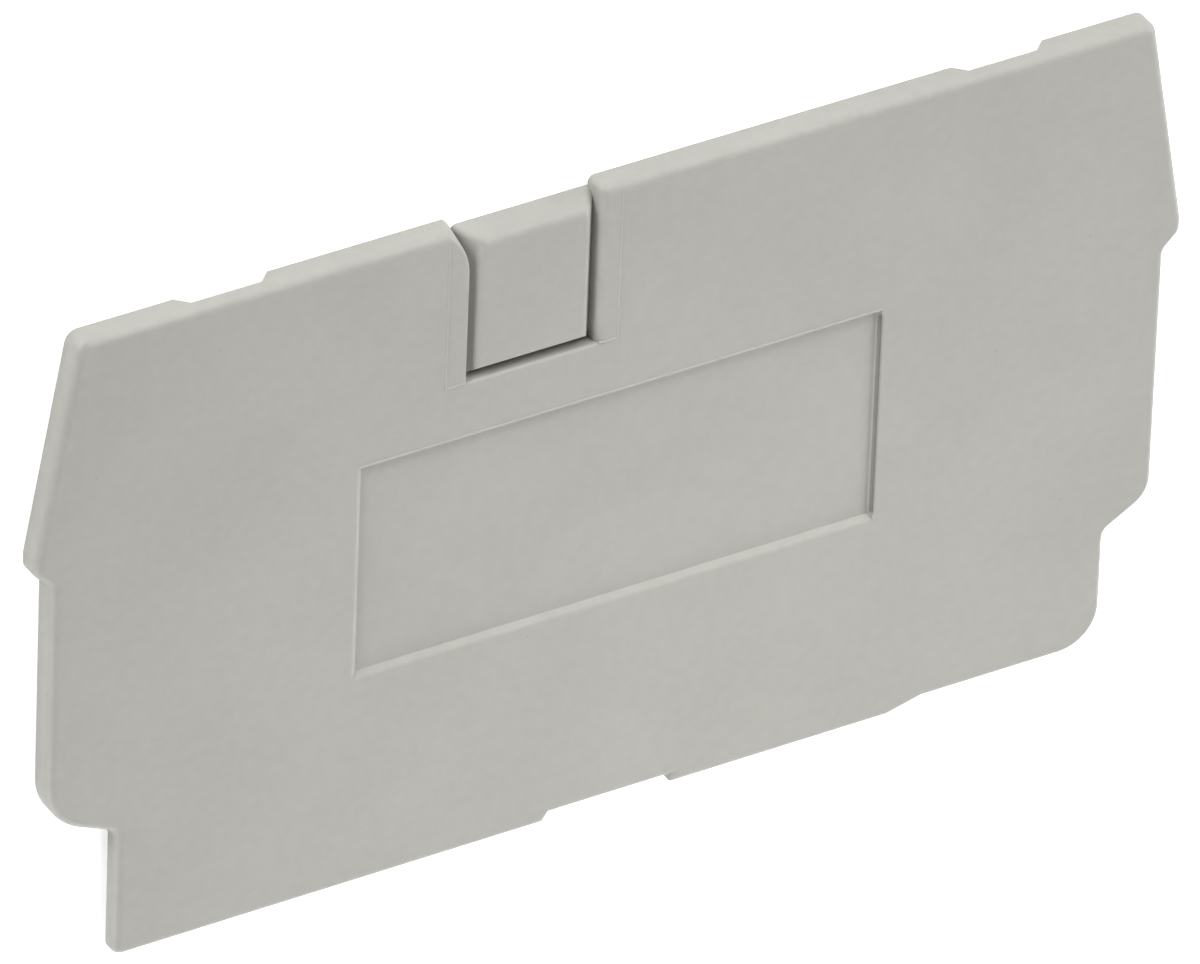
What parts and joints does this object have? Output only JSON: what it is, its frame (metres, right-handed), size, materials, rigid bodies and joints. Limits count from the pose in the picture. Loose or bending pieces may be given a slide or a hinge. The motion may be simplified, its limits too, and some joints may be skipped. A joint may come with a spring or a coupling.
{
  "type": "terminal block end cover",
  "caption": "Thin moulded plastic end plate that closes the open side of a rail-mounted terminal block, with a break-out tab and a blank label recess.",
  "frame": {"origin": "middle of the outline, on the flat back face", "axes": "+Z out of the visible front face, +Y towards the long straight top edge, +X along the length, to the right seen from the front"},
  "size_m": [0.056, 0.0322, 0.0012],
  "materials": {
    "body": "fine matt mould texture, light warm grey"
  },
  "bodies": {
    "root": {"end_cover": "body"}
  },
  "joints": []
}
